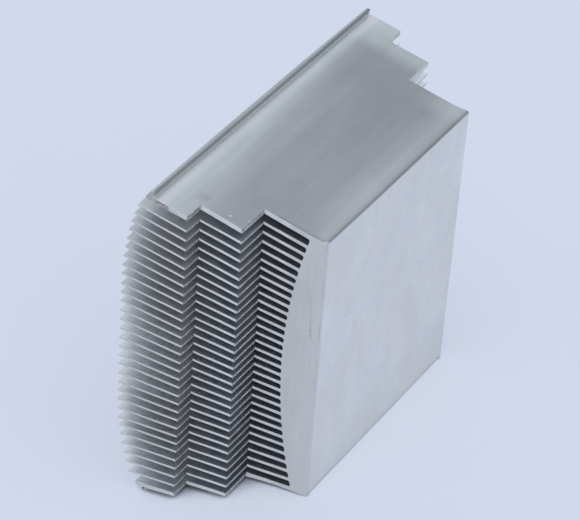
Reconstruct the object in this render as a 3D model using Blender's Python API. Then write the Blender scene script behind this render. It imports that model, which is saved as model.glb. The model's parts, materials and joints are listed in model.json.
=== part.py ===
"""Skived fin heat sink: one piece of aluminium with a bowed base and a fan of thin fins.

The cross section is drawn flat and pulled along its length, as the stock is made, and
both ends are then milled back in two steps. Sizes are in millimetres and are scaled to
metres where a point is made. In the cross section, depth runs from the mounting face
towards the fin tips and height runs across the stack of fins, from its middle.
"""

import math

import bmesh
import bpy
from mathutils import Vector

MM = 0.001

# Lengths along the fins, at the three stages that the ends are milled to
TIP_LENGTH = 100.0
MIDDLE_LENGTH = 88.6
BASE_LENGTH = 68.8
BASE_STAGE_DEPTH = 17.9
MIDDLE_STAGE_DEPTH = 29.7

# Base: thickest in the middle, because the slots end on an arc
BASE_THICKNESS = 10.1
ROOT_ARC_RADIUS = 150.0
BASE_EDGE_RADIUS = 0.9

# Thin fins, counted outwards from the one on the middle line
CLOSE_FINS_EACH_SIDE = 11
WIDE_FINS_EACH_SIDE = 4
CLOSE_PITCH = 2.46
WIDE_PITCH = 2.72
PITCH_DEPTH = 12.0
FAN_CENTRE_DISTANCE = 262.0
FIN_ROOT_THICKNESS = 1.0
FIN_WAIST_THICKNESS = 0.76
FIN_TIP_THICKNESS = 0.46
ROOT_TAPER_LENGTH = 8.0
SLOT_END_RADIUS = 0.4
FIN_TIP_RADIUS = 0.12

# Envelope of the fin tips: flat across the middle fins, then bowed back
FIN_REACH = 47.8
TIP_FLAT_HALF_HEIGHT = 15.6
TIP_ARC_RADIUS = 91.0

# Outer plates: the thicker last fins, each with a lip along its free edge
OUTER_SLOT_WIDTH = 1.94
PLATE_THICKNESS = 1.28
PLATE_FLARE = math.radians(9.2)
PLATE_REACH = 41.4
FLARE_START_DEPTH = 3.7
FLARE_BLEND_RADIUS = 18.0
LIP_FOOT_WIDTH = 2.1
LIP_TOP_WIDTH = 1.0
LIP_HEIGHT = 1.7
LIP_SLANT_DROP = 0.7
LIP_EDGE_RADIUS = 0.3
LIP_FOOT_RADIUS = 0.3

# Drawing
ARC_STEP = math.radians(24.0)
CUTTER_MARGIN = 10.0
WELD_DISTANCE = 0.000001

ALUMINIUM_COLOUR = (0.62, 0.64, 0.66, 1.0)


def clear_scene():
    for found in list(bpy.data.objects):
        bpy.data.objects.remove(found)


def new_collection(name):
    collection = bpy.data.collections.new(name)
    bpy.context.scene.collection.children.link(collection)
    return collection


def aluminium():
    material = bpy.data.materials.new("bare_aluminium")
    material.use_nodes = True
    shader = material.node_tree.nodes["Principled BSDF"]
    shader.inputs["Base Color"].default_value = ALUMINIUM_COLOUR
    shader.inputs["Metallic"].default_value = 1.0
    shader.inputs["Roughness"].default_value = 0.38
    return material


def section_point(depth, height):
    """A point of the cross section: the mounting face is at x = 0, the tips at -x."""
    return Vector((-depth, height))


def root_depth(height):
    """Depth of the arc that the slots end on, which is deepest on the middle line."""
    return BASE_THICKNESS - ROOT_ARC_RADIUS + math.sqrt(ROOT_ARC_RADIUS**2 - height**2)


def tip_depth(height):
    """Depth of the line that the fin tips end on."""
    bowed = max(0.0, abs(height) - TIP_FLAT_HALF_HEIGHT)
    return FIN_REACH - TIP_ARC_RADIUS + math.sqrt(TIP_ARC_RADIUS**2 - bowed**2)


def where_side_meets(line_depth, height_at):
    """Depth at which a fin's side, given as its height at a depth, meets a line."""
    depth = line_depth(height_at(0.0))
    for _ in range(8):
        depth = line_depth(height_at(depth))
    return depth


def fin_place(index):
    """Height of a fin's centre at the pitch depth, where the outer fins are wider apart."""
    close = min(abs(index), CLOSE_FINS_EACH_SIDE)
    wide = abs(index) - close
    return math.copysign(close * CLOSE_PITCH + wide * WIDE_PITCH, index)


def waist_depth():
    """Depth at which a fin has lost its root's extra thickness."""
    return BASE_THICKNESS + ROOT_TAPER_LENGTH


def fin_thickness(depth):
    if depth < waist_depth():
        share = max(0.0, depth - BASE_THICKNESS) / ROOT_TAPER_LENGTH
        return FIN_ROOT_THICKNESS + (FIN_WAIST_THICKNESS - FIN_ROOT_THICKNESS) * share
    share = (depth - waist_depth()) / (FIN_REACH - waist_depth())
    return FIN_WAIST_THICKNESS + (FIN_TIP_THICKNESS - FIN_WAIST_THICKNESS) * share


def fin_side(index, side):
    """Height, as a function of depth, of one side (-1 lower, +1 upper) of a fin."""

    def height_at(depth):
        fanned = (depth + FAN_CENTRE_DISTANCE) / (PITCH_DEPTH + FAN_CENTRE_DISTANCE)
        return fin_place(index) * fanned + side * fin_thickness(depth) / 2

    return height_at


def plate_face(outwards):
    """Height, as a function of depth, of a face of the upper plate, moved outwards."""

    def height_at(depth):
        last_fin = fin_side(CLOSE_FINS_EACH_SIDE + WIDE_FINS_EACH_SIDE, +1)(PITCH_DEPTH)
        start = last_fin + OUTER_SLOT_WIDTH + outwards / math.cos(PLATE_FLARE)
        return start + (depth - PITCH_DEPTH) * math.tan(PLATE_FLARE)

    return height_at


def plate_corners():
    """Corners of the upper plate, from the base's edge, round the lip, to its slot."""
    outer = plate_face(PLATE_THICKNESS)
    inner = plate_face(0.0)
    along = Vector((-math.cos(PLATE_FLARE), math.sin(PLATE_FLARE)))
    outwards = Vector((math.sin(PLATE_FLARE), math.cos(PLATE_FLARE)))
    end = section_point(PLATE_REACH, outer(PLATE_REACH))
    lip_foot = end - along * LIP_FOOT_WIDTH
    lip_top = lip_foot + outwards * LIP_HEIGHT
    root = where_side_meets(root_depth, inner)
    return [
        (section_point(0.0, outer(FLARE_START_DEPTH)), BASE_EDGE_RADIUS),
        (section_point(FLARE_START_DEPTH, outer(FLARE_START_DEPTH)), FLARE_BLEND_RADIUS),
        (lip_foot, LIP_FOOT_RADIUS),
        (lip_top, 0.0),
        (lip_top + along * LIP_TOP_WIDTH, LIP_EDGE_RADIUS),
        (end - outwards * LIP_SLANT_DROP, 0.0),
        (end - outwards * PLATE_THICKNESS, 0.0),
        (section_point(root, inner(root)), SLOT_END_RADIUS),
    ]


def fin_corners(index):
    """Corners of one thin fin, from its upper root, round its tip, to its lower root."""
    corners = []
    for side in (+1, -1):
        edge = fin_side(index, side)
        root = where_side_meets(root_depth, edge)
        waist = waist_depth()
        tip = where_side_meets(tip_depth, edge)
        edge_corners = [
            (section_point(root, edge(root)), SLOT_END_RADIUS),
            (section_point(waist, edge(waist)), 0.0),
            (section_point(tip, edge(tip)), FIN_TIP_RADIUS),
        ]
        corners += edge_corners if side > 0 else reversed(edge_corners)
    return corners


def corner_arc(before, corner, after, radius):
    """Points that round a corner, with the radius held within both of its walls."""
    to_before = before - corner
    to_after = after - corner
    half_angle = to_before.angle(to_after) / 2
    room = 0.49 * min(to_before.length, to_after.length)
    setback = min(radius / math.tan(half_angle), room)
    if setback <= 0.0:
        return [corner]
    radius = setback * math.tan(half_angle)
    start = corner + to_before.normalized() * setback
    end = corner + to_after.normalized() * setback
    bisector = (to_before.normalized() + to_after.normalized()).normalized()
    centre = corner + bisector * (radius / math.sin(half_angle))
    from_angle = math.atan2(start.y - centre.y, start.x - centre.x)
    to_angle = math.atan2(end.y - centre.y, end.x - centre.x)
    turn = math.remainder(to_angle - from_angle, 2 * math.pi)
    steps = max(2, math.ceil(abs(turn) / ARC_STEP))
    angles = [from_angle + turn * step / steps for step in range(steps + 1)]
    return [centre + Vector((math.cos(a), math.sin(a))) * radius for a in angles]


def section_outline():
    """The whole cross section, anticlockwise from the mounting face's upper edge."""
    upper = plate_corners()
    last = CLOSE_FINS_EACH_SIDE + WIDE_FINS_EACH_SIDE
    fins = []
    for index in range(last, -last - 1, -1):
        fins += fin_corners(index)
    lower = [(Vector((p.x, -p.y)), radius) for p, radius in reversed(upper)]
    corners = upper + fins + lower
    outline = []
    for place, (corner, radius) in enumerate(corners):
        before = corners[place - 1][0]
        after = corners[(place + 1) % len(corners)][0]
        outline += corner_arc(before, corner, after, radius)
    return outline


def resting_lean(outline):
    """Angle of the line under the section that touches its lower lip and its base."""
    lean = 0.0
    for _ in range(8):

        def level(point, angle=lean):
            return point.y * math.cos(angle) - point.x * math.sin(angle)

        foot = min((p for p in outline if p.x < -MIDDLE_STAGE_DEPTH), key=level)
        heel = min((p for p in outline if p.x > -BASE_STAGE_DEPTH), key=level)
        lean = math.atan2(heel.y - foot.y, heel.x - foot.x)
    return lean


def stand_on_side(outline, collection):
    """The empty that tips the section onto its lower lip and centres its footprint."""
    lean = resting_lean(outline)
    across = [p.x * math.cos(lean) + p.y * math.sin(lean) for p in outline]
    above = [p.y * math.cos(lean) - p.x * math.sin(lean) for p in outline]
    stand = bpy.data.objects.new("standing_pose", None)
    stand.rotation_euler = (0.0, lean, 0.0)
    stand.location = (-(min(across) + max(across)) / 2 * MM, 0.0, -min(above) * MM)
    collection.objects.link(stand)
    return stand


def prism(name, outline, thickness, rotation, parent, collection):
    """A solid of an outline in millimetres, pulled evenly to both sides of its plane."""
    curve = bpy.data.curves.new(name + "_outline", "CURVE")
    curve.dimensions = "2D"
    curve.fill_mode = "BOTH"
    curve.extrude = thickness / 2 * MM
    spline = curve.splines.new("POLY")
    spline.points.add(len(outline) - 1)
    for point, place in zip(spline.points, outline):
        point.co = (place.x * MM, place.y * MM, 0.0, 1.0)
    spline.use_cyclic_u = True
    drawn = bpy.data.objects.new(name + "_drawn", curve)
    collection.objects.link(drawn)
    drawn.rotation_euler = rotation
    drawn.parent = parent
    bpy.context.view_layer.update()

    evaluated = drawn.evaluated_get(bpy.context.evaluated_depsgraph_get())
    mesh = bpy.data.meshes.new_from_object(evaluated)
    mesh.name = name
    welded = bmesh.new()
    welded.from_mesh(mesh)
    bmesh.ops.remove_doubles(welded, verts=welded.verts, dist=WELD_DISTANCE)
    bmesh.ops.recalc_face_normals(welded, faces=welded.faces)
    welded.to_mesh(mesh)
    welded.free()
    solid = bpy.data.objects.new(name, mesh)
    collection.objects.link(solid)
    solid.parent = parent
    solid.rotation_euler = rotation
    bpy.data.objects.remove(drawn)
    return solid


def end_cutter_outline(end):
    """What is milled off one end (-1 near, +1 far), seen from above the upper plate."""
    beyond = TIP_LENGTH / 2 + CUTTER_MARGIN
    steps = [
        (-CUTTER_MARGIN, BASE_LENGTH / 2),
        (BASE_STAGE_DEPTH, BASE_LENGTH / 2),
        (BASE_STAGE_DEPTH, MIDDLE_LENGTH / 2),
        (MIDDLE_STAGE_DEPTH, MIDDLE_LENGTH / 2),
        (MIDDLE_STAGE_DEPTH, beyond),
        (-CUTTER_MARGIN, beyond),
    ]
    return [Vector((-depth, end * along)) for depth, along in steps]


def mill_end(body, end, name, height, parent, collection):
    cutter = prism(name, end_cutter_outline(end), height, (0.0, 0.0, 0.0), parent, collection)
    cutter.hide_render = True
    cutter.display_type = "WIRE"
    cut = body.modifiers.new(name, "BOOLEAN")
    cut.operation = "DIFFERENCE"
    cut.solver = "EXACT"
    cut.object = cutter


def heat_sink():
    parts = new_collection("skived_fin_heat_sink")
    cutters = new_collection("cutters")
    outline = section_outline()
    stand = stand_on_side(outline, parts)
    along_y = (math.radians(90.0), 0.0, 0.0)
    body = prism("finned_body", outline, TIP_LENGTH, along_y, stand, parts)
    body.data.materials.append(aluminium())
    body.data.shade_smooth()
    body.data.set_sharp_from_angle(angle=math.radians(30.0))

    stack_height = max(p.y for p in outline) - min(p.y for p in outline)
    cutter_height = stack_height + 2 * CUTTER_MARGIN
    mill_end(body, -1, "near_end_cutter", cutter_height, stand, cutters)
    mill_end(body, +1, "far_end_cutter", cutter_height, stand, cutters)


clear_scene()
heat_sink()
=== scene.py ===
import json
import math

import bpy
from mathutils import Euler, Matrix, Vector, noise


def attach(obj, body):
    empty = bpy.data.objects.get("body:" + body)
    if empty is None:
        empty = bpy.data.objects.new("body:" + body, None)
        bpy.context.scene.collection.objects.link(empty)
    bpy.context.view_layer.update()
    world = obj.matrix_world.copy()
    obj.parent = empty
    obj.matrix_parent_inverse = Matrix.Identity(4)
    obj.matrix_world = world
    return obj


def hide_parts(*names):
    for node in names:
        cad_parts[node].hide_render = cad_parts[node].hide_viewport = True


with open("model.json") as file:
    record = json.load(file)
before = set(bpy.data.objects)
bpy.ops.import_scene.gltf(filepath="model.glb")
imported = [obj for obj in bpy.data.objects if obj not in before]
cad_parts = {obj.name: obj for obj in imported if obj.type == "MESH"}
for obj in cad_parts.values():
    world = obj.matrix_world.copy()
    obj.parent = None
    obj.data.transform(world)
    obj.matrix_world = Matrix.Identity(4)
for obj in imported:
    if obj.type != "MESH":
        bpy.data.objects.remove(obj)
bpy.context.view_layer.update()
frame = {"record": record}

# The section's own directions, from the record: depth runs into the fins, height across them
FACE = frame["record"]["mounts"][0]
LEAN = math.asin(-FACE["axis"][2])
ORIGIN = Vector(FACE["pos_m"])
STAND = Matrix.Translation(ORIGIN) @ Matrix.Rotation(LEAN, 4, "Y")
MM = 0.001

# Sizes in millimetres, as in the part's source
TIP_END, MIDDLE_END, BASE_END = 50.0, 44.3, 34.4
BASE_STAGE, MIDDLE_STAGE = 17.9, 29.7
BASE_THICKNESS, ROOT_ARC = 10.1, 150.0
CLOSE_FINS, WIDE_FINS = 11, 4
CLOSE_PITCH, WIDE_PITCH = 2.46, 2.72
PITCH_DEPTH, FAN = 12.0, 262.0
ROOT_T, WAIST_T, TIP_T, WAIST = 1.0, 0.76, 0.46, 18.1
REACH, TIP_FLAT, TIP_ARC = 47.8, 15.6, 91.0
OUTER_SLOT, PLATE_T, FLARE = 1.94, 1.28, math.radians(9.2)
PLATE_REACH, FLARE_START = 41.4, 3.7
LIP_FOOT, LIP_TOP, LIP_H, LIP_DROP = 2.1, 1.0, 1.7, 0.7

# What a point of the section belongs to: a fin from -LAST to LAST, a plate at -PLATE or PLATE, or the face
LAST = CLOSE_FINS + WIDE_FINS
PLATE = LAST + 1
FACE_LINE = 99

# The section's rounded corners: radius and steps of the arc
ROOT_ROUND, SHARP_ROUND = (0.52, 4), (0.12, 2)
FACE_ROUND, BEND_ROUND = (0.5, 4), (34.0, 8)
LIP_FOOT_ROUND, LIP_TOP_ROUND, LIP_BROW_ROUND = (0.12, 3), (0.14, 2), (0.3, 3)

# The depths at which the sides of fins and plates have a point, and how far one stays from a side's ends
STATIONS = (BASE_STAGE, 20.8, 23.8, 26.8, MIDDLE_STAGE, 33.0, 36.4, 39.8, 43.0)
PLATE_STATIONS = (8.0, 11.5, 14.7)
SLOT_STATION, SIDE_START, LIP_CLEAR, STATION_GAP = 14.0, 15.0, 38.9, 0.3
# The face's points are spaced at this share of the spacing of the slots behind them
FACE_SHARE = 0.955
# Where the rows of points are along y: evenly over the base, and at these places towards each end
BASE_ROWS = 20
END_ROWS = (BASE_END + 0.5, 36.5, 39.4, 42.2, MIDDLE_END - 0.4, MIDDLE_END, MIDDLE_END + 0.5,
            46.6, 48.6, TIP_END)
# Closer than this, two depths or two lengths are the same
NEARLY = 1e-4

# How the fins stray from the drawn section: a long wave, a short one and, from END_START on along y, each
# fin's own bend
WAVE, RIPPLE, END_BEND, END_START = 0.30, 0.10, 0.35, 32.0
# Bends that neighbouring fins share: how far, about which fin's place, and over what spread
BENDS = ((0.18, 26.0, 8.0), (-0.55, -10.0, 24.0))
CURLS = ((-0.72, -22.0, 15.0), (0.33, 24.0, 7.0), (-0.40, 37.0, 3.5))
BEND_START, CURL_START, BEND_END = 12.0, 20.0, 48.0
# The lower plate's corners are bent by this much, growing up to this depth and from this y
CORNER_BEND, CORNER_DEPTH, CORNER_START = 0.12, 41.9, 30.0
# The lower plate is bowed between these depths, more on its outer side than on its inner one
BOW_START, BOW_END, BOW_FULLNESS = 5.0, 36.0, 0.7
BOW_OUTSIDE, BOW_INSIDE = 0.5, 0.24
# The upper lip stands taller by LIP_RISE at the y of LIP_CREST, and loses LIP_FALL from there to its far end
LIP_RISE, LIP_FALL, LIP_CREST = 0.24, 0.54, -8.0
# The lower lip is this much shorter at its near end, growing between these distances from the middle
LOWER_LIP_LOSS, LOSS_FROM, LOSS_FULL = 0.7, 28.0, 44.0
# The upper plate's near end stands this much higher, growing likewise, and fading out before the lip
NEAR_RISE, RISE_FROM, RISE_FULL, RISE_FADE = 0.25, 10.0, 34.0, (37.0, 30.0)
# How far out from a plate's inner side its outer half begins, and the upper part of its lip
MID_PLATE, MID_LIP = 0.55 * PLATE_T, PLATE_T + 0.6 * LIP_H

# The width of a broken edge, and its share at the base's end, at the middle stage's, and at tips and steps
EDGE_BREAK = 0.28
BASE_BREAK, MIDDLE_BREAK, TIP_BREAK = 0.4, 0.36, 0.3
# How strongly the large faces keep the shading beside them flat
NORMALS_WEIGHT = 90

# The camera's place and turn in the section's own frame, in millimetres and degrees
CAMERA_PLACE = (265.350, -524.586, 464.353)
CAMERA_TURN = (52.30788, -3.43689, 31.96436)
CAMERA_LENS, CAMERA_SENSOR, CAMERA_FAR = 183.946, 36.0, 20.0
FLOOR_HALF = 4.0

# The metals, in the order in which the body lists them
SKIN, MOUNTING, CUT, FIN, STEP = range(5)


def section(depth, height):
    return Vector((-depth, height))


def root_depth(height):
    return BASE_THICKNESS - ROOT_ARC + math.sqrt(ROOT_ARC**2 - height**2)


def tip_depth(height):
    bowed = max(0.0, abs(height) - TIP_FLAT)
    return REACH - TIP_ARC + math.sqrt(TIP_ARC**2 - bowed**2)


def meets(line, height_at):
    """The depth at which a side of a fin or plate meets a line of roots or tips; a few rounds settle it."""
    depth = line(height_at(0.0))
    for _ in range(8):
        depth = line(height_at(depth))
    return depth


def fin_place(index):
    close = min(abs(index), CLOSE_FINS)
    return math.copysign(close * CLOSE_PITCH + (abs(index) - close) * WIDE_PITCH, index)


def fin_thickness(depth):
    if depth < WAIST:
        share = max(0.0, depth - BASE_THICKNESS) / (WAIST - BASE_THICKNESS)
        return ROOT_T + (WAIST_T - ROOT_T) * share
    return WAIST_T + (TIP_T - WAIST_T) * (depth - WAIST) / (REACH - WAIST)


def fin_side(index, side):
    def height_at(depth):
        fanned = (depth + FAN) / (PITCH_DEPTH + FAN)
        return fin_place(index) * fanned + side * fin_thickness(depth) / 2

    return height_at


def plate_face(outwards):
    """The line of the upper plate that lies this far out from its inner side."""
    def height_at(depth):
        start = fin_side(LAST, +1)(PITCH_DEPTH) + OUTER_SLOT + outwards / math.cos(FLARE)
        return start + (depth - PITCH_DEPTH) * math.tan(FLARE)

    return height_at


# The outer face of a plate, and the foot of its lip, in the plate's own directions
PLATE_LEVEL = plate_face(PLATE_T)(0.0) * math.cos(FLARE)
LIP_FOOT_AT = (PLATE_REACH * math.cos(FLARE)
               + plate_face(PLATE_T)(PLATE_REACH) * math.sin(FLARE)) - LIP_FOOT
HALF_FACE = plate_face(PLATE_T)(FLARE_START)


def beyond(point, outwards):
    """Whether a point of the section lies further out than this from a plate's inner side."""
    return abs(point.y) > plate_face(outwards)(-point.x)


def round_corner(before, corner, after, radius, steps):
    """Points of an arc that rounds one corner of the section, and takes up less than half of each side."""
    to_before, to_after = before - corner, after - corner
    half = to_before.angle(to_after) / 2
    setback = min(radius / math.tan(half), 0.49 * min(to_before.length, to_after.length))
    radius = setback * math.tan(half)
    bisector = (to_before.normalized() + to_after.normalized()).normalized()
    centre = corner + bisector * (radius / math.sin(half))
    start = corner + to_before.normalized() * setback - centre
    end = corner + to_after.normalized() * setback - centre
    first = math.atan2(start.y, start.x)
    turn = math.remainder(math.atan2(end.y, end.x) - first, 2 * math.pi)
    angles = [first + turn * k / steps for k in range(steps + 1)]
    return [centre + Vector((math.cos(a), math.sin(a))) * radius for a in angles]


def stops(height_at, low, high):
    """Points of a side at the shared depths between two depths."""
    return [section(d, height_at(d)) for d in STATIONS if low + STATION_GAP < d < high - STATION_GAP]


def upper_plate():
    """The upper plate's side of the section, from the mounting face round the lip towards its slot."""
    outer, inner = plate_face(PLATE_T), plate_face(0.0)
    along = Vector((-math.cos(FLARE), math.sin(FLARE)))
    out = Vector((math.sin(FLARE), math.cos(FLARE)))
    end = section(PLATE_REACH, outer(PLATE_REACH))
    foot = end - along * LIP_FOOT
    edge = section(0.0, outer(FLARE_START))
    bend = section(FLARE_START, outer(FLARE_START))
    top, brow = foot + out * LIP_H, foot + out * LIP_H + along * LIP_TOP
    chin, heel = end - out * LIP_DROP, end - out * PLATE_T
    points = round_corner(Vector((0.0, 0.0)), edge, bend, *FACE_ROUND)
    points += round_corner(edge, bend, foot, *BEND_ROUND)
    points += [section(d, outer(d)) for d in PLATE_STATIONS] + stops(outer, SIDE_START, LIP_CLEAR)
    points += round_corner(bend, foot, top, *LIP_FOOT_ROUND)
    points += round_corner(foot, top, brow, *LIP_TOP_ROUND)
    points += round_corner(top, brow, chin, *LIP_BROW_ROUND)
    points += round_corner(brow, chin, heel, *SHARP_ROUND)
    points += round_corner(chin, heel, foot - out * PLATE_T, *SHARP_ROUND)
    points += list(reversed(stops(inner, SIDE_START, PLATE_REACH)))
    points.append(section(SLOT_STATION, inner(SLOT_STATION)))
    return [(p, PLATE) for p in points]


def fin_run(index, side):
    """One side of a fin: its root corner, the points between, and its tip corner."""
    height_at = fin_side(index, side)
    root, tip = meets(root_depth, height_at), meets(tip_depth, height_at)
    between = [section(SLOT_STATION, height_at(SLOT_STATION))] + stops(height_at, SIDE_START, tip)
    return section(root, height_at(root)), between, section(tip, height_at(tip))


def outline():
    """The whole closed section as (point, what it belongs to), from the face's upper edge round the fins."""
    loop = upper_plate()
    mirrored = [(Vector((p.x, -p.y)), -index) for p, index in reversed(loop)]
    inner = plate_face(0.0)
    root = meets(root_depth, inner)
    # The last point of the piece above a slot, the slot's upper corner and the piece's index
    above, corner, owner = loop[-1][0], section(root, inner(root)), PLATE
    for index in range(LAST, -LAST - 1, -1):
        top_root, top_run, top_tip = fin_run(index, +1)
        low_root, low_run, low_tip = fin_run(index, -1)
        loop += [(p, owner) for p in round_corner(above, corner, top_root, *ROOT_ROUND)]
        loop += [(p, index) for p in round_corner(corner, top_root, top_run[0], *ROOT_ROUND)]
        loop += [(p, index) for p in top_run]
        loop += [(p, index) for p in round_corner(top_run[-1], top_tip, low_tip, *SHARP_ROUND)]
        loop += [(p, index) for p in round_corner(top_tip, low_tip, low_run[-1], *SHARP_ROUND)]
        loop += [(p, index) for p in reversed(low_run)]
        above, corner, owner = low_run[0], low_root, index
    last_root = section(root, -inner(root))
    loop += [(p, owner) for p in round_corner(above, corner, last_root, *ROOT_ROUND)]
    loop += [(p, -PLATE) for p in round_corner(corner, last_root, mirrored[0][0], *ROOT_ROUND)]
    loop += mirrored
    slots = [a[0].y for a, b in zip(loop, loop[1:]) if a[1] == b[1] + 1 and a[0].x > -BASE_STAGE]
    return loop + [(section(0.0, FACE_SHARE * height), FACE_LINE) for height in reversed(slots)]


def reach_at(depth):
    """Half the length that the part has at this depth."""
    if depth < BASE_STAGE - NEARLY:
        return BASE_END
    return MIDDLE_END if depth < MIDDLE_STAGE - NEARLY else TIP_END


def y_stations():
    over_base = [-BASE_END + 2 * BASE_END * k / BASE_ROWS for k in range(BASE_ROWS + 1)]
    return [-y for y in reversed(END_ROWS)] + over_base + list(END_ROWS)


def ramp(value, start, end):
    """The share of the way from the start to the end, from 0 to 1."""
    return min(1.0, max(0.0, (value - start) / (end - start)))


def shared(bends, place):
    """The bend that a fin at this place has in common with its neighbours."""
    return sum(far * math.exp(-((place - centre) / spread) ** 2) for far, centre, spread in bends)


def sway(index, depth, y):
    """How far a fin, or a corner of the lower plate, strays from its true height: nothing at its root."""
    if abs(index) > LAST:
        bent = CORNER_BEND * ramp(abs(y), CORNER_START, TIP_END) ** 2
        return 0.0 if index > 0 else bent * ramp(depth, BASE_STAGE, CORNER_DEPTH)
    free, place = ramp(depth, BEND_START, BEND_END), fin_place(index)
    # The numbers inside a noise only say where it is read and how fast it changes
    wave = WAVE * noise.noise(Vector((index * 7.3, y * 0.028, depth * 0.03)))
    ripple = RIPPLE * noise.noise(Vector((index * 3.1 + 40.0, y * 0.09, depth * 0.06)))
    own = END_BEND * noise.noise(Vector((index * 5.7 + 90.0, 0.4 * math.copysign(1.0, y), 2.0)))
    strays = free**1.5 * (wave + ripple + own * ramp(abs(y), END_START, TIP_END))
    # The fins below the middle sag together and those above it stand up a little; towards the tips the low
    # ones curl down, those below the top curl up and the topmost lie lower
    return free * shared(BENDS, place) + ramp(depth, CURL_START, BEND_END) * shared(CURLS, place) + strays


def bow(index, point):
    """How far the lower plate is bowed up off the floor between the base and its lip."""
    if index > -PLATE:
        return 0.0
    share = math.sin(math.pi * ramp(-point.x, BOW_START, BOW_END)) ** BOW_FULLNESS
    return share * (BOW_OUTSIDE if beyond(point, MID_PLATE) else BOW_INSIDE)


def lift(index, point, y):
    """How much higher than drawn the upper plate's near end and the tops of both lips stand here."""
    if abs(index) < PLATE or not beyond(point, MID_LIP):
        before_lip = ramp(-point.x, *RISE_FADE)
        return NEAR_RISE * before_lip * ramp(-y, RISE_FROM, RISE_FULL) if index == PLATE else 0.0
    if index > 0:
        return LIP_RISE - LIP_FALL * ((y - LIP_CREST) / (TIP_END - LIP_CREST)) ** 2
    return LOWER_LIP_LOSS * ramp(-y, LOSS_FROM, LOSS_FULL)


def finned_body():
    """The whole part as one mesh: rows of the section along y, closed at both ends by the milled faces."""
    loop, ys = outline(), y_stations()
    count = len(loop)
    vertices, faces, kinds, breaks, at = [], [], [], {}, {}
    for i, y in enumerate(ys):
        for m, (p, index) in enumerate(loop):
            if abs(y) <= reach_at(-p.x) + NEARLY:
                at[i, m] = len(vertices)
                height = p.y + sway(index, -p.x, y) + bow(index, p) + lift(index, p, y)
                vertices.append((p.x * MM, y * MM, height * MM))
    runs = {}
    for m, (p, index) in enumerate(loop):
        runs.setdefault(index, []).append(m)

    def depth_of(m):
        return -loop[m][0].x

    def row(y):
        return min(range(len(ys)), key=lambda i: abs(ys[i] - y))

    def break_edge(a, b, share):
        breaks[min(a, b), max(a, b)] = share

    def kind_of(m):
        (a, i), (b, j) = loop[m], loop[(m + 1) % count]
        if FACE_LINE in (i, j):
            return MOUNTING
        return SKIN if abs(i) == PLATE and i == j and beyond((a + b) / 2, MID_PLATE) else FIN

    def end_face(end, corners, kind):
        faces.append(tuple(corners if end < 0 else reversed(corners)))
        kinds.append(kind)

    for m in range(count):
        n, kind = (m + 1) % count, kind_of(m)
        for i in range(len(ys) - 1):
            if all(k in at for k in ((i, m), (i, n), (i + 1, m), (i + 1, n))):
                faces.append((at[i, m], at[i + 1, m], at[i + 1, n], at[i, n]))
                kinds.append(kind)

    for end in (-1, 1):
        base, middle, tip = row(end * BASE_END), row(end * MIDDLE_END), row(end * TIP_END)
        # The base's end, with one face to each fin, from the mounting face to where the next stage begins
        line = runs[FACE_LINE]
        for index in range(PLATE, -PLATE - 1, -1):
            ring = [m for m in runs[index] if depth_of(m) <= BASE_STAGE + NEARLY]
            below, above = line[index + LAST:index + LAST + 1], line[index + PLATE:index + PLATE + 1]
            if index < PLATE:
                ring = [ring[0] - 1] + ring
            if index == -PLATE:
                below = []
            end_face(end, [at[base, m] for m in ring + below + above], CUT)
        for m in range(count):
            n = (m + 1) % count
            least, most = sorted((depth_of(m), depth_of(n)))
            if most <= BASE_STAGE + NEARLY:
                break_edge(at[base, m], at[base, n], BASE_BREAK)
            if BASE_STAGE - NEARLY <= least and most <= MIDDLE_STAGE + NEARLY:
                break_edge(at[middle, m], at[middle, n], MIDDLE_BREAK)
            if least >= MIDDLE_STAGE - NEARLY:
                break_edge(at[tip, m], at[tip, n], TIP_BREAK)
        # The two stages' ends and the steps before them, fin by fin
        for index in range(PLATE, -PLATE - 1, -1):
            for low, high, i in ((BASE_STAGE, MIDDLE_STAGE, middle), (MIDDLE_STAGE, REACH, tip)):
                part = [m for m in runs[index] if low - NEARLY <= depth_of(m) <= high + NEARLY]
                end_face(end, [at[i, m] for m in part], CUT)
            for depth, inside, outside in ((BASE_STAGE, base, middle), (MIDDLE_STAGE, middle, tip)):
                first, second = [m for m in runs[index] if abs(depth_of(m) - depth) < NEARLY]
                for i in range(inside, outside, end):
                    j = i + end
                    end_face(end, (at[i, first], at[i, second], at[j, second], at[j, first]), STEP)
                    break_edge(at[i, first], at[j, first], TIP_BREAK)
                    break_edge(at[i, second], at[j, second], TIP_BREAK)
                break_edge(at[outside, first], at[outside, second], TIP_BREAK)
    return dressed("finned_body_dressed", vertices, faces, kinds, breaks)


def dressed(name, vertices, faces, kinds, breaks):
    """A piece from its mesh in the section's own frame, stood up, with its edges broken."""
    mesh = bpy.data.meshes.new(name)
    mesh.from_pydata(vertices, [], faces)
    mesh.transform(STAND)
    mesh.update()
    mesh.polygons.foreach_set("material_index", kinds)
    weights = mesh.attributes.new("bevel_weight_edge", "FLOAT", "EDGE")
    for edge in mesh.edges:
        weights.data[edge.index].value = breaks.get(tuple(sorted(edge.vertices)), 0.0)
    mesh.shade_smooth()
    body = bpy.data.objects.new(name, mesh)
    bpy.context.scene.collection.objects.link(body)
    bevel = body.modifiers.new("broken_edges", "BEVEL")
    bevel.limit_method = "WEIGHT"
    bevel.width = EDGE_BREAK * MM
    bevel.segments = 2
    bevel.use_clamp_overlap = False
    bevel.harden_normals = False
    normals = body.modifiers.new("flat_faces", "WEIGHTED_NORMAL")
    normals.weight = NORMALS_WEIGHT
    normals.keep_sharp = True
    return body


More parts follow.
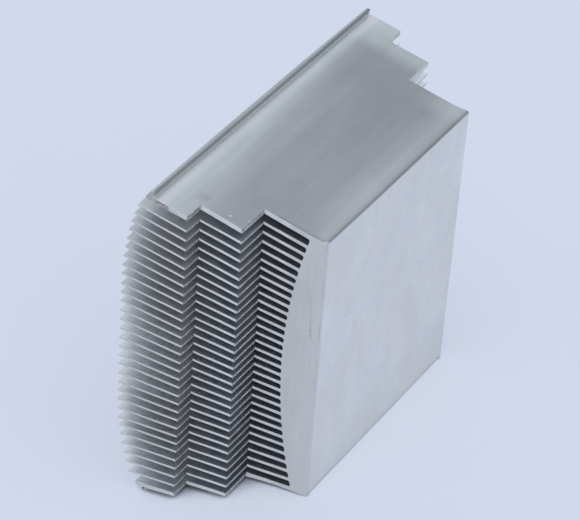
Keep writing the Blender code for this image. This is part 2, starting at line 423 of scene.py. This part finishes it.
class Nodes:
    """Short calls for building one node tree. A value is a number, a colour or another node's output."""

    def __init__(self, tree):
        self.tree = tree

    def add(self, kind, inputs=(), **settings):
        node = self.tree.nodes.new(kind)
        for name, value in settings.items():
            setattr(node, name, value)
        for name, value in dict(inputs).items():
            self.set(node.inputs[name], value)
        return node

    def set(self, socket, value):
        if isinstance(value, bpy.types.NodeSocket):
            self.tree.links.new(value, socket)
        else:
            socket.default_value = (*value, 1.0) if socket.type == "RGBA" else value

    def math(self, operation, a, b=0.0, c=0.0):
        return self.add("ShaderNodeMath", enumerate((a, b, c)), operation=operation).outputs[0]

    def product(self, first, *others):
        for other in others:
            first = self.math("MULTIPLY", first, other)
        return first

    def total(self, first, *others):
        for other in others:
            first = self.math("ADD", first, other)
        return first

    def linear(self, value, slope, start):
        """The start plus the slope times the value."""
        return self.math("MULTIPLY_ADD", value, slope, start)

    def between(self, share, a, b):
        """A number that goes from a to b as the share goes from 0 to 1."""
        return self.linear(share, self.math("SUBTRACT", b, a), a)

    def centred(self, value, amount):
        """A noise value turned to 1 plus or minus about this amount."""
        return self.linear(self.math("SUBTRACT", value, 0.5), 2.0 * amount, 1.0)

    def span(self, value, low, high, out_low=0.0, out_high=1.0, smooth=True):
        """A number that goes from out_low to out_high as the value goes from low to high, and no further."""
        return self.add("ShaderNodeMapRange", enumerate((value, low, high, out_low, out_high)), clamp=True,
                        interpolation_type="SMOOTHSTEP" if smooth else "LINEAR").outputs[0]

    def stretch(self, vector, scale, place=(0.0, 0.0, 0.0)):
        return self.add("ShaderNodeMapping", {"Vector": vector, "Scale": scale, "Location": place}).outputs[0]

    def noise(self, vector, scale, detail=3.0, roughness=0.5, distortion=0.0, place=(0.0, 0.0, 0.0)):
        """A noise from 0 to 1, with its scale in each direction, and shifted by place."""
        return self.add("ShaderNodeTexNoise", {
            "Vector": self.stretch(vector, scale, place), "Scale": 1.0, "Detail": detail,
            "Roughness": roughness, "Distortion": distortion}).outputs[0]

    def mix(self, share, a, b, blend="MIX"):
        node = self.add("ShaderNodeMix", data_type="RGBA", blend_type=blend)
        for place, value in ((0, share), (6, a), (7, b)):
            self.set(node.inputs[place], value)
        return node.outputs[2]

    def tint(self, value, colour):
        """A grey of this value, turned to a colour of that strength."""
        grey = self.add("ShaderNodeCombineColor", enumerate((value, value, value))).outputs[0]
        return self.mix(1.0, grey, colour, "MULTIPLY")

    def axes(self, vector):
        return self.add("ShaderNodeSeparateXYZ", {"Vector": vector}).outputs

    def spot(self, place, centre, radius, factor):
        """A factor on a round spot about a centre, and 1 outside it. A None leaves that direction out."""
        square = 0.0
        for part, middle in zip(self.axes(place), centre):
            if middle is not None:
                away = self.math("SUBTRACT", part, middle)
                square = self.linear(away, away, square)
        return self.span(square, SPOT_CORE * radius**2, radius**2, factor, 1.0)

    def bump(self, height, strength, distance, under=None):
        inputs = {"Height": height, "Strength": strength, "Distance": distance}
        if under is not None:
            inputs["Normal"] = under
        return self.add("ShaderNodeBump", inputs).outputs[0]


# The share of a spot's squared radius inside which it has its full strength
SPOT_CORE = 0.05
# Small marks on the plates, placed for the upper one: depth, y, radius and how much lighter or darker; the
# lighter ones are painted glints
MARKS_AND_GLINTS = (
    (22.5, -42.3, 0.40, 1.9), (9.2, 23.6, 0.30, 1.3), (12.6, 16.0, 0.35, 0.75), (30.6, -41.3, 2.2, 0.89),
    (0.1, -34.2, 1.1, 1.8), (18.1, -40.6, 0.45, 1.35), (17.7, -39.2, 0.30, 1.4))
# The same on the mounting face: y, height, radius and factor
FACE_MARKS = (
    (-14.0, 8.9, 0.38, 0.72), (-6.8, 8.1, 0.32, 0.75), (-7.3, 6.5, 0.32, 0.78),
    (-21.9, 10.9, 0.38, 0.62), (-18.1, -6.0, 0.50, 0.80), (-13.8, -12.5, 0.50, 0.80))
# A light streak near the face's edge: its y, height, half width and factor, and its width over its length
STREAK_Y, STREAK_HEIGHT, STREAK_WIDTH, STREAK_FACTOR, STREAK_DRAWN = -33.8, 12.8, 0.25, 1.15, 0.15
# The painted shade on a lip's wall and the painted highlight on its top
LIP_WALL_SHADE, LIP_TOP_HIGHLIGHT = 0.34, 0.68
# How metallic the cut surfaces look, and how dark the steps are beside the ends
CUT_METALLIC, STEP_SHARE = 0.25, 0.52


def metal(name, metallic=1.0):
    """A new bare metal, with its nodes, its shader, and the section's place in millimetres, also by axis."""
    material = bpy.data.materials.new(name)
    material.use_nodes = True
    n = Nodes(material.node_tree)
    shader = material.node_tree.nodes["Principled BSDF"]
    shader.inputs["Metallic"].default_value = metallic
    place = n.add("ShaderNodeTexCoord").outputs["Object"]
    local = n.add("ShaderNodeMapping", {"Vector": place, "Location": ORIGIN, "Rotation": (0.0, LEAN, 0.0),
                                        "Scale": (MM, MM, MM)}, vector_type="TEXTURE").outputs[0]
    return material, n, shader, local, n.axes(local)


def surface(n, shader, colour, roughness, normal):
    n.set(shader.inputs["Base Color"], colour)
    n.set(shader.inputs["Roughness"], roughness)
    n.set(shader.inputs["Normal"], normal)


def out_of_plate(n, x, height):
    """How far out a point lies in the plate's own direction."""
    return n.linear(x, math.sin(FLARE), n.product(height, math.cos(FLARE)))


def painted_plate_light(n, depth, y):
    """Painted light and shade in broad bands over a plate: painted highlights near the face, towards the lip
    and at the far end.
    """
    leaning = n.linear(y, -0.1, depth)
    inboard = n.product(n.span(y, -25.0, -5.0), n.span(y, 20.0, 30.0, 1.0, 0.0))
    ground = n.span(y, -20.0, 26.0, 0.575, 0.515)
    towards_lip = n.span(leaning, 27.5, 36.0, 0.0, 0.15, smooth=False)
    beside_lip = n.span(leaning, 34.0, 42.0, 0.0, 0.10, smooth=False)
    beside_face = n.product(n.span(depth, 0.6, 4.0, 0.0, 0.11), n.span(depth, 4.5, 11.0, 1.0, 0.0),
                            n.span(y, -34.0, -16.0, 0.4, 1.0))
    lip_highlight_band = n.product(n.span(depth, 32.0, 34.5, 0.0, 0.06), inboard)
    middle_highlight_band = n.product(n.span(depth, 25.0, 28.0, 0.0, 0.05), n.span(depth, 28.0, 30.5, 1.0, 0.0),
                              inboard)
    far_base = n.product(n.span(y, 25.0, 32.5, 0.0, 0.12), n.span(depth, 8.0, BASE_STAGE, 1.0, 0.2))
    far_end = n.span(y, 36.0, 43.0, 0.0, 0.14)
    far_tip = n.product(n.span(y, 43.0, 49.0, 0.0, 0.10), n.span(depth, 34.0, 37.0, 1.0, 0.3))
    far_middle = n.product(n.span(y, 36.0, 42.5, 0.0, 0.09), n.span(depth, 34.5, 36.0, 1.0, 0.0))
    lip = n.product(n.span(depth, 34.5, 38.0), n.span(y, 0.0, 40.0, 0.22, 0.32))
    return n.total(ground, towards_lip, beside_lip, beside_face, lip_highlight_band, middle_highlight_band, far_base,
                   far_end, far_tip, far_middle, lip)


def painted_lip_shade_and_highlight(n, value, depth, y, rise, past):
    """The plate's value, with painted shade on the lip's wall and its top's inner part, and a painted
    highlight on the rest of its top.
    """
    away = n.product(n.math("SUBTRACT", y, LIP_CREST), 1.0 / (TIP_END - LIP_CREST))
    lifted = n.linear(n.product(away, away), -LIP_FALL, LIP_RISE)
    level, over = n.math("SUBTRACT", rise, lifted), n.linear(lifted, 0.65, past)
    wall = n.product(n.math("MAXIMUM", n.span(rise, 0.0, 0.15), n.span(past, -0.02, 0.12)),
                     n.span(past, 0.6, 0.8, 1.0, 0.0), n.span(depth, 36.0, 37.0))
    top = n.product(n.span(level, 1.45, 1.6), n.span(over, 0.11, 0.31))
    return n.between(top, n.between(wall, value, LIP_WALL_SHADE), LIP_TOP_HIGHLIGHT)


def skin_metal():
    """The outer plates: drawn aluminium with lines along its length, and broad bands of painted light and
    shade across it.
    """
    material, n, shader, local, (x, y, w) = metal("drawn_aluminium")
    depth, height = n.product(x, -1.0), n.math("ABSOLUTE", w)
    # Over the plate's face, and along it from the lip's foot
    rise = n.math("SUBTRACT", out_of_plate(n, x, height), PLATE_LEVEL)
    past = n.math("SUBTRACT", n.linear(height, math.sin(FLARE), n.product(depth, math.cos(FLARE))),
                  LIP_FOOT_AT)
    lines = n.noise(local, (2.6, 0.012, 0.3), 5.0, 0.6)
    fine = n.noise(local, (14.0, 0.05, 1.0), 3.0, 0.6)
    grain = n.noise(local, (5.0, 0.8, 5.0), 2.0)
    blotch = n.noise(local, (0.16, 0.05, 0.16), distortion=0.6)
    # Painted shade along the rounded edge to the face, and at the base's near end
    edge = n.span(depth, 0.1, 1.4, 0.80, 1.0, smooth=False)
    near = n.math("MAXIMUM", n.span(y, 0.1 - BASE_END, 1.5 - BASE_END, 0.8, 1.0), n.span(depth, 8.0, 16.0))
    value = n.product(painted_plate_light(n, depth, y), edge, near)
    value = n.product(painted_lip_shade_and_highlight(n, value, depth, y, rise, past), n.centred(lines, 0.08),
                      n.centred(fine, 0.035), n.centred(blotch, 0.07), n.centred(grain, 0.02))
    for spot_depth, spot_y, radius, factor in MARKS_AND_GLINTS:
        value = n.product(value, n.spot(local, (-spot_depth, spot_y, None), radius, factor))
    surface(n, shader, n.tint(value, (0.955, 1.0, 1.01)), n.linear(lines, 0.12, n.linear(blotch, 0.1, 0.27)),
            n.bump(fine, 0.2, 0.008 * MM, n.bump(lines, 0.25, 0.02 * MM)))
    return material


def mounting_metal():
    """The mounting face: finely milled, pale and satin, with faint clouds, pits and lines across the fins,
    and painted shade towards its lower and near edges.
    """
    material, n, shader, local, (_, y, w) = metal("milled_face")
    cloud = n.noise(local, (0.1, 0.09, 0.06), 5.0, 0.6, 0.8)
    passes = n.noise(local, (0.3, 0.35, 0.02), 4.0, 0.6)
    mottle = n.noise(local, (0.45, 0.5, 0.35), 3.0, 0.6)
    grain = n.noise(local, (3.0, 3.0, 1.2), 3.0, 0.7)
    pits = n.noise(local, (1.0, 0.6, 0.4))
    tone = n.noise(local, (0.1, 0.05, 0.07), place=(3.0, 5.0, 1.0))
    # Painted shade, darker towards the bottom, under faint clouds, passes, mottle and grain
    value = n.product(n.span(w, -HALF_FACE, -20.0, 0.735, 0.785), n.centred(cloud, 0.11),
                      n.centred(passes, 0.03), n.centred(mottle, 0.045), n.centred(grain, 0.03))
    value = n.math("SUBTRACT", value, n.span(pits, 0.62, 0.74, 0.0, 0.06))
    # Painted shade along its lower edge, where it meets the floor, and along its near edge
    value = n.product(value, n.span(w, -HALF_FACE, 2.2 - HALF_FACE, 0.84, 1.0),
                      n.span(y, 0.4 - BASE_END, 1.2 - BASE_END, 0.885, 1.0))
    for mark_y, mark_w, radius, factor in FACE_MARKS:
        value = n.product(value, n.spot(local, (None, mark_y, mark_w), radius, factor))
    drawn_out = n.stretch(local, (1.0, 1.0, STREAK_DRAWN))
    streak = (None, STREAK_Y, STREAK_HEIGHT * STREAK_DRAWN)
    value = n.product(value, n.spot(drawn_out, streak, STREAK_WIDTH, STREAK_FACTOR))
    shade = n.mix(n.span(tone, 0.38, 0.62), (0.997, 0.993, 0.95), (0.988, 0.997, 0.992))
    surface(n, shader, n.tint(value, shade), n.linear(cloud, 0.14, 0.40), n.bump(grain, 0.12, 0.01 * MM))
    return material


def base_wear(n, local, depth, w, lines):
    """A long scratch, a worn edge and a pit on the base's end, as a factor."""
    beside = n.math("SUBTRACT", n.linear(w, -0.075, depth), 1.72)
    scratch = n.product(n.span(n.product(beside, beside), 0.005, 0.03, 1.0, 0.0), n.span(w, 9.0, 11.0),
                        n.span(w, 21.5, 24.0, 1.0, 0.0), n.span(lines, 0.35, 0.6, 0.3, 1.0))
    broken = n.noise(local, (0.0, 0.0, 0.16), place=(5.0, 5.0, 3.3))
    worn = n.product(n.span(depth, 0.12, 0.4, 0.22, 0.0), n.span(broken, 0.42, 0.58), n.span(w, -8.0, -2.0))
    pit = n.spot(local, (-3.1, None, 12.7), 0.35, 0.7)
    return n.product(n.linear(scratch, -0.34, 1.0), n.math("SUBTRACT", 1.0, worn), pit)


def step_specks_and_light(n, local, y, w, near):
    """The steps' specks at the near end, as a factor, with painted light that makes it higher at the far end,
    and lower on the plate.
    """
    specks = n.noise(local, (1.9, 1.9, 1.3), 3.0, 0.6)
    return n.product(n.between(near, 0.9, n.span(specks, 0.44, 0.62, 0.65, 1.42)),
                     n.span(y, 32.0, 35.0, 1.0, 1.6), n.span(w, 43.0, 45.0, 1.0, 0.85))


def cut_metal(name, share, speckled=False):
    """The milled ends and steps: bright fresh metal with cutter lines across the fins."""
    material, n, shader, local, (x, y, w) = metal(name, CUT_METALLIC)
    depth = n.product(x, -1.0)
    lines = n.noise(local, (2.2, 2.2, 0.05), 5.0, 0.65)
    cloud = n.noise(local, (0.2, 0.2, 0.08), distortion=0.5)
    grain = n.noise(local, (3.5, 3.5, 3.5), 2.0)
    # The fins' ends are lighter than the base's, with painted light before each step where the corner shades
    # them, and darker stage by stage
    corners = n.total(n.product(n.span(depth, 13.0, 17.5), n.span(depth, BASE_STAGE, 18.1, 1.0, 0.0)),
                      n.product(n.span(depth, 26.0, 29.4), n.span(depth, MIDDLE_STAGE, 29.9, 1.0, 0.0)))
    value = n.product(n.span(depth, 9.0, 12.0, 0.58, 0.69), n.span(depth, 17.8, 18.2, 1.0, 0.94),
                      n.span(depth, 28.0, 34.0, 1.0, 0.87), n.span(depth, 38.0, 48.0, 1.0, 0.9),
                      n.linear(corners, 0.2, 1.0), share, n.centred(lines, 0.09), n.centred(cloud, 0.08),
                      n.centred(grain, 0.08))
    near = n.span(y, -20.0, -30.0)
    wear_and_light = step_specks_and_light(n, local, y, w, near) if speckled else base_wear(n, local, depth, w, lines)
    value = n.product(value, wear_and_light)
    # Stains on the base's end, and dirt on the upper plate's near corner
    stains = n.noise(local, (0.25, 0.25, 0.1), 4.0, 0.6, place=(2.0, 0.0, 6.0))
    stain = n.product(n.span(stains, 0.48, 0.68, 0.0, 0.8), n.span(depth, 8.0, 10.0, 1.0, 0.0))
    clean = n.mix(stain, n.tint(value, (0.985, 0.995, 0.985)), n.tint(value, (0.955, 0.95, 0.90)))
    inside = PLATE_LEVEL - PLATE_T
    on_plate = n.product(n.span(out_of_plate(n, x, w), inside - 0.1, inside), near,
                         n.span(depth, 34.6, 35.6, 0.0, 0.95), n.span(depth, 38.3, 39.3, 1.0, 0.55))
    spots = n.noise(local, (1.6, 1.6, 1.6), 4.0, 0.7)
    dirt = n.product(on_plate, n.span(spots, 0.34, 0.52))
    soiled = n.tint(n.product(value, 0.4), (1.15, 1.0, 0.88))
    surface(n, shader, n.mix(dirt, clean, soiled), n.linear(cloud, 0.12, 0.36),
            n.bump(lines, 0.15, 0.01 * MM))
    return material


def fin_metal():
    """The fins' faces: drawn metal, with painted shade deep in the slots and painted light towards the tips
    and the far ends.
    """
    material, n, shader, local, (x, y, w) = metal("fin_faces")
    depth = n.product(x, -1.0)
    lines = n.noise(local, (2.0, 0.03, 0.4), 4.0, 0.6)
    cloud = n.noise(local, (0.3, 0.08, 0.3))
    # Painted shade deeper in the slots, and painted light at the far ends and at the tips of the middle fins
    far = n.span(y, 33.0, 37.0)
    central_tip_light = n.product(n.span(n.math("ABSOLUTE", w), 4.0, 20.0, 0.11, 0.0), n.span(depth, 28.0, 36.0))
    value = n.product(n.span(depth, 12.0, 26.0, 0.61, 0.77, smooth=False),
                      n.span(depth, 30.0, 44.0, 1.0, 0.97), n.centred(lines, 0.09), n.centred(cloud, 0.08),
                      n.linear(far, 0.41, 1.0), n.total(central_tip_light, 1.0))
    shade = n.mix(n.span(depth, 14.0, 40.0), (0.94, 0.985, 1.045), (0.975, 0.99, 0.99))
    surface(n, shader, n.tint(value, shade), n.linear(cloud, 0.14, n.linear(far, 0.3, 0.34)),
            n.bump(lines, 0.2, 0.01 * MM))
    return material


def floor():
    """A plain pale floor that also glows, so that it stays as even as in the photo."""
    mesh = bpy.data.meshes.new("floor")
    corners = [(-FLOOR_HALF, -FLOOR_HALF, 0.0), (FLOOR_HALF, -FLOOR_HALF, 0.0),
               (FLOOR_HALF, FLOOR_HALF, 0.0), (-FLOOR_HALF, FLOOR_HALF, 0.0)]
    mesh.from_pydata(corners, [], [(0, 1, 2, 3)])
    plane = bpy.data.objects.new("floor", mesh)
    bpy.context.scene.collection.objects.link(plane)
    material = bpy.data.materials.new("pale_paper")
    material.use_nodes = True
    n = Nodes(material.node_tree)
    shader = material.node_tree.nodes["Principled BSDF"]
    shader.inputs["Roughness"].default_value = 0.9
    shader.inputs["Specular IOR Level"].default_value = 0.1
    shader.inputs["Emission Strength"].default_value = 0.645
    # Painted contact shadow under the lower plate's ends, which stand just over it, but not along the base
    place = n.add("ShaderNodeTexCoord").outputs["Object"]
    along = n.math("ABSOLUTE", n.axes(place)["Y"])
    open_sky = n.add("ShaderNodeAmbientOcclusion", {"Distance": 10.0 * MM}, samples=6).outputs["AO"]
    under = n.span(open_sky, 0.25, 0.36, 0.03, 1.0, smooth=False)
    by_base = n.span(along, (BASE_END - 1.6) * MM, (BASE_END - 1.1) * MM, 1.0, 0.0)
    contact_shadow = n.math("MAXIMUM", under, by_base)
    n.set(shader.inputs["Base Color"], n.tint(contact_shadow, (0.227, 0.240, 0.275)))
    n.set(shader.inputs["Emission Color"], n.tint(contact_shadow, (0.640, 0.697, 0.832)))
    mesh.materials.append(material)


def camera():
    data = bpy.data.cameras.new("camera")
    data.sensor_width = CAMERA_SENSOR
    data.lens = CAMERA_LENS
    data.clip_end = CAMERA_FAR
    seen = bpy.data.objects.new("camera", data)
    turn = Euler([math.radians(a) for a in CAMERA_TURN]).to_matrix().to_4x4()
    seen.matrix_world = STAND @ Matrix.Translation(Vector(CAMERA_PLACE) * MM) @ turn
    bpy.context.scene.collection.objects.link(seen)
    bpy.context.scene.camera = seen


def soft_light(name, place, width, power):
    """A square white light that looks at the part from this place."""
    data = bpy.data.lights.new(name, "AREA")
    data.shape = "SQUARE"
    data.size = width
    data.energy = power
    lamp = bpy.data.objects.new(name, data)
    lamp.location = place
    lamp.rotation_mode = "QUATERNION"
    lamp.rotation_quaternion = (-Vector(place)).to_track_quat("-Z", "Y")
    bpy.context.scene.collection.objects.link(lamp)


def studio():
    """An even pale room, darker at the back right, with one broad soft light above the right front."""
    world = bpy.data.worlds.new("studio")
    bpy.context.scene.world = world
    bpy.context.scene.view_settings.view_transform = "Standard"
    world.use_nodes = True
    n = Nodes(world.node_tree)
    back = world.node_tree.nodes["Background"]
    across, along, _ = n.axes(n.add("ShaderNodeTexCoord").outputs["Generated"])
    shade = n.product(n.span(across, -0.42, 0.02), n.span(along, 0.25, 0.6))
    n.set(back.inputs["Color"], n.mix(shade, (0.86, 0.90, 1.0), (0.42, 0.45, 0.495)))
    back.inputs["Strength"].default_value = 0.88
    soft_light("overhead", place=(1.3, -0.75, 2.0), width=2.8, power=33.0)


body = finned_body()
metals = (skin_metal(), mounting_metal(), cut_metal("cut_ends", 1.0), fin_metal(),
          cut_metal("cut_steps", STEP_SHARE, speckled=True))
for made in metals:
    body.data.materials.append(made)
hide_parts("finned_body")
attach(body, "root")
floor()
camera()
studio()
